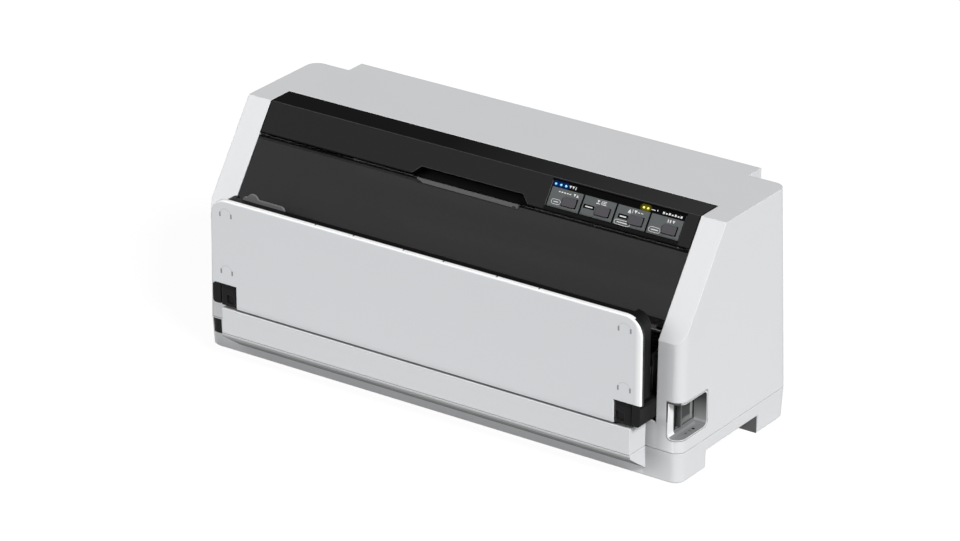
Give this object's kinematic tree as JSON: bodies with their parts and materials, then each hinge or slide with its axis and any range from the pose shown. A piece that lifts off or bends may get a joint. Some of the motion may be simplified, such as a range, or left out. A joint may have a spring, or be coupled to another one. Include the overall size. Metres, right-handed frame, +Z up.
{
  "type": "dot matrix printer",
  "caption": "Flatbed dot matrix printer with sloping front window, folding front paper tray, key panel, carriage, feed rollers and rear push tractor.",
  "frame": {"origin": "on the desk, in the middle of the closed machine's plan", "axes": "+X to the printer's right along its width, +Y to its rear, +Z up"},
  "size_m": [0.48, 0.198, 0.21],
  "materials": {
    "ac_inlet": "black plastic",
    "button_1": "grey plastic",
    "button_2": "grey plastic",
    "button_3": "grey plastic",
    "button_4": "grey plastic",
    "carriage": "dark moulded plastic",
    "carriage_motor": "plated steel can",
    "chassis_base": "zinc-plated sheet steel",
    "control_strip": "black plastic",
    "data_ports": "black plastic",
    "drive_pulley": "acetal",
    "edge_guide_left": "mid grey plastic",
    "edge_guide_right": "mid grey plastic",
    "feed_motor": "plated steel can",
    "front_feed_roller": "rubber sleeves on a steel shaft",
    "front_pinch_roller": "rubber sleeves on a steel shaft",
    "front_plug": "black plastic",
    "front_rail": "zinc-plated sheet steel",
    "front_roller_gear": "white acetal",
    "guide_rod": "ground steel",
    "hinge_arms": "black plastic",
    "idler_gear": "white acetal",
    "idler_pulley": "acetal",
    "key_plate": "dark grey plastic",
    "lower_case": "light grey plastic with a fine spark texture",
    "main_board": "green circuit board",
    "motor_pinion": "white acetal",
    "panel_board": "dark grey plastic",
    "paper_guides": "zinc-plated sheet steel",
    "platen": "ground steel",
    "power_rocker": "dark grey plastic",
    "power_supply": "green circuit board",
    "print_head": "black anodised aluminium",
    "rear_feed_roller": "rubber sleeves on a steel shaft",
    "rear_pinch_roller": "rubber sleeves on a steel shaft",
    "rear_roller_gear": "white acetal",
    "rear_stay": "zinc-plated sheet steel",
    "ribbon_band": "inked nylon",
    "ribbon_cartridge": "black plastic",
    "ribbon_knob": "black plastic",
    "rubber_feet": "soft grey rubber",
    "side_frame_left": "zinc-plated sheet steel",
    "side_frame_right": "zinc-plated sheet steel",
    "sprocket_left": "dark moulded plastic",
    "sprocket_right": "dark moulded plastic",
    "switch_bezel": "mid grey plastic",
    "switch_body": "dark grey plastic",
    "timing_belt": "neoprene belt",
    "tractor_door_left": "dark moulded plastic",
    "tractor_door_right": "dark moulded plastic",
    "tractor_left": "dark moulded plastic",
    "tractor_lever_left": "dark moulded plastic",
    "tractor_lever_right": "dark moulded plastic",
    "tractor_rail": "ground steel",
    "tractor_right": "dark moulded plastic",
    "tractor_shaft": "ground steel",
    "tray_frame": "black plastic",
    "tray_panel": "light grey plastic",
    "upper_case": "light grey plastic with a fine spark texture",
    "window_cover": "smoke-tinted clear plastic"
  },
  "bodies": {
    "case": {"upper_case": "upper_case", "lower_case": "lower_case", "rubber_feet": "rubber_feet", "front_plug": "front_plug", "control_strip": "control_strip", "key_plate": "key_plate", "panel_board": "panel_board", "hinge_arms": "hinge_arms", "switch_bezel": "switch_bezel", "switch_body": "switch_body", "side_frame_left": "side_frame_left", "side_frame_right": "side_frame_right", "chassis_base": "chassis_base", "front_rail": "front_rail", "rear_stay": "rear_stay", "guide_rod": "guide_rod", "feed_motor": "feed_motor", "platen": "platen", "paper_guides": "paper_guides", "tractor_rail": "tractor_rail", "timing_belt": "timing_belt", "carriage_motor": "carriage_motor", "ribbon_cartridge": "ribbon_cartridge", "ribbon_band": "ribbon_band", "main_board": "main_board", "power_supply": "power_supply", "ac_inlet": "ac_inlet", "data_ports": "data_ports"},
    "window": {"window_cover": "window_cover"},
    "tray": {"tray_panel": "tray_panel", "tray_frame": "tray_frame"},
    "guide_left": {"edge_guide_left": "edge_guide_left"},
    "guide_right": {"edge_guide_right": "edge_guide_right"},
    "key_1": {"button_1": "button_1"},
    "key_2": {"button_2": "button_2"},
    "key_3": {"button_3": "button_3"},
    "key_4": {"button_4": "button_4"},
    "rocker": {"power_rocker": "power_rocker"},
    "head_carriage": {"carriage": "carriage", "print_head": "print_head"},
    "pulley_drive": {"drive_pulley": "drive_pulley"},
    "pulley_idler": {"idler_pulley": "idler_pulley"},
    "front_feed": {"front_feed_roller": "front_feed_roller", "front_roller_gear": "front_roller_gear"},
    "rear_feed": {"rear_feed_roller": "rear_feed_roller", "rear_roller_gear": "rear_roller_gear"},
    "front_pinch": {"front_pinch_roller": "front_pinch_roller"},
    "rear_pinch": {"rear_pinch_roller": "rear_pinch_roller"},
    "pinion": {"motor_pinion": "motor_pinion"},
    "idler": {"idler_gear": "idler_gear"},
    "tractor_drive": {"tractor_shaft": "tractor_shaft"},
    "tractor_unit_left": {"tractor_left": "tractor_left"},
    "tractor_unit_right": {"tractor_right": "tractor_right"},
    "pin_wheel_left": {"sprocket_left": "sprocket_left"},
    "pin_wheel_right": {"sprocket_right": "sprocket_right"},
    "door_left": {"tractor_door_left": "tractor_door_left"},
    "door_right": {"tractor_door_right": "tractor_door_right"},
    "lever_left": {"tractor_lever_left": "tractor_lever_left"},
    "lever_right": {"tractor_lever_right": "tractor_lever_right"},
    "knob": {"ribbon_knob": "ribbon_knob"}
  },
  "joints": [
    {"name": "window_hinge", "type": "hinge", "parent": "case", "child": "window", "pos_m": [0, -0.05712, 0.13847], "axis": [1, 0, 0], "range_deg": [0, 70]},
    {"name": "tray_hinge", "type": "hinge", "parent": "case", "child": "tray", "pos_m": [0, -0.0958, 0.064], "axis": [1, 0, 0], "range_deg": [0, 90]},
    {"name": "left_guide_slide", "type": "slide", "parent": "tray", "child": "guide_left", "axis": [1, 0, 0], "range_m": [0, 0.09]},
    {"name": "right_guide_slide", "type": "slide", "parent": "tray", "child": "guide_right", "axis": [1, 0, 0], "range_m": [-0.2, 0]},
    {"name": "button_1_press", "type": "slide", "parent": "case", "child": "key_1", "axis": [0, 0.8172, -0.5763], "range_m": [0, 0.0008], "stiffness_N_per_m": 600, "springref_m": -0.0006},
    {"name": "button_2_press", "type": "slide", "parent": "case", "child": "key_2", "axis": [0, 0.8172, -0.5763], "range_m": [0, 0.0008], "stiffness_N_per_m": 600, "springref_m": -0.0006},
    {"name": "button_3_press", "type": "slide", "parent": "case", "child": "key_3", "axis": [0, 0.8172, -0.5763], "range_m": [0, 0.0008], "stiffness_N_per_m": 600, "springref_m": -0.0006},
    {"name": "button_4_press", "type": "slide", "parent": "case", "child": "key_4", "axis": [0, 0.8172, -0.5763], "range_m": [0, 0.0008], "stiffness_N_per_m": 600, "springref_m": -0.0006},
    {"name": "power_switch", "type": "hinge", "parent": "case", "child": "rocker", "pos_m": [0.2243, -0.051, 0.05725], "axis": [0, 0, 1], "range_deg": [-14, 0]},
    {"name": "carriage_travel", "type": "slide", "parent": "case", "child": "head_carriage", "axis": [1, 0, 0], "range_m": [0, 0.3]},
    {"name": "drive_pulley_spin", "type": "hinge", "parent": "case", "child": "pulley_drive", "pos_m": [0.17, 0.053, 0.1125], "axis": [0, 0, 1], "range_deg": [-2600, 2600]},
    {"name": "idler_pulley_spin", "type": "hinge", "parent": "case", "child": "pulley_idler", "pos_m": [-0.17, 0.053, 0.1125], "axis": [0, 0, 1], "range_deg": [-2600, 2600]},
    {"name": "front_feed_spin", "type": "hinge", "parent": "case", "child": "front_feed", "pos_m": [0, -0.022, 0.05696], "axis": [1, 0, 0], "continuous": true},
    {"name": "rear_feed_spin", "type": "hinge", "parent": "case", "child": "rear_feed", "pos_m": [0, 0.028, 0.05696], "axis": [1, 0, 0], "continuous": true},
    {"name": "front_pinch_spin", "type": "hinge", "parent": "case", "child": "front_pinch", "pos_m": [0, -0.022, 0.0718], "axis": [1, 0, 0], "continuous": true},
    {"name": "rear_pinch_spin", "type": "hinge", "parent": "case", "child": "rear_pinch", "pos_m": [0, 0.028, 0.0718], "axis": [1, 0, 0], "continuous": true},
    {"name": "pinion_spin", "type": "hinge", "parent": "case", "child": "pinion", "pos_m": [-0.2, 0.003, 0.04982], "axis": [1, 0, 0], "continuous": true},
    {"name": "idler_spin", "type": "hinge", "parent": "case", "child": "idler", "pos_m": [-0.2103, 0.04558, 0.05309], "axis": [1, 0, 0], "continuous": true},
    {"name": "tractor_shaft_spin", "type": "hinge", "parent": "case", "child": "tractor_drive", "pos_m": [0, 0.066, 0.05487], "axis": [1, 0, 0], "continuous": true},
    {"name": "tractor_left_slide", "type": "slide", "parent": "case", "child": "tractor_unit_left", "axis": [1, 0, 0], "range_m": [0, 0.08]},
    {"name": "sprocket_left_spin", "type": "hinge", "parent": "tractor_unit_left", "child": "pin_wheel_left", "pos_m": [-0.15, 0.066, 0.05487], "axis": [1, 0, 0], "continuous": true},
    {"name": "tractor_door_left", "type": "hinge", "parent": "tractor_unit_left", "child": "door_left", "pos_m": [-0.1596, 0.062, 0.071], "axis": [0, 1, 0], "range_deg": [-100, 0]},
    {"name": "tractor_lever_left", "type": "hinge", "parent": "tractor_unit_left", "child": "lever_left", "pos_m": [-0.1648, 0.047, 0.046], "axis": [1, 0, 0], "range_deg": [0, 28]},
    {"name": "tractor_right_slide", "type": "slide", "parent": "case", "child": "tractor_unit_right", "axis": [1, 0, 0], "range_m": [-0.08, 0]},
    {"name": "sprocket_right_spin", "type": "hinge", "parent": "tractor_unit_right", "child": "pin_wheel_right", "pos_m": [0.15, 0.066, 0.05487], "axis": [1, 0, 0], "continuous": true},
    {"name": "tractor_door_right", "type": "hinge", "parent": "tractor_unit_right", "child": "door_right", "pos_m": [0.1596, 0.062, 0.071], "axis": [0, 1, 0], "range_deg": [0, 100]},
    {"name": "tractor_lever_right", "type": "hinge", "parent": "tractor_unit_right", "child": "lever_right", "pos_m": [0.1648, 0.047, 0.046], "axis": [1, 0, 0], "range_deg": [0, 28]},
    {"name": "ribbon_knob_spin", "type": "hinge", "parent": "case", "child": "knob", "pos_m": [0.15, -0.052, 0.112], "axis": [0, 0, 1], "continuous": true}
  ],
  "couplings": [
    {"joint": "drive_pulley_spin", "follows": "carriage_travel", "rad_per_m": 112.36},
    {"joint": "idler_pulley_spin", "follows": "carriage_travel", "rad_per_m": 112.36},
    {"joint": "rear_feed_spin", "follows": "front_feed_spin", "ratio": 1},
    {"joint": "front_pinch_spin", "follows": "front_feed_spin", "ratio": -2.2304},
    {"joint": "rear_pinch_spin", "follows": "front_feed_spin", "ratio": -2.2304},
    {"joint": "pinion_spin", "follows": "front_feed_spin", "ratio": -0.85714},
    {"joint": "idler_spin", "follows": "front_feed_spin", "ratio": -2},
    {"joint": "tractor_shaft_spin", "follows": "front_feed_spin", "ratio": 0.82759},
    {"joint": "sprocket_left_spin", "follows": "front_feed_spin", "ratio": 0.82759},
    {"joint": "sprocket_right_spin", "follows": "front_feed_spin", "ratio": 0.82759}
  ]
}
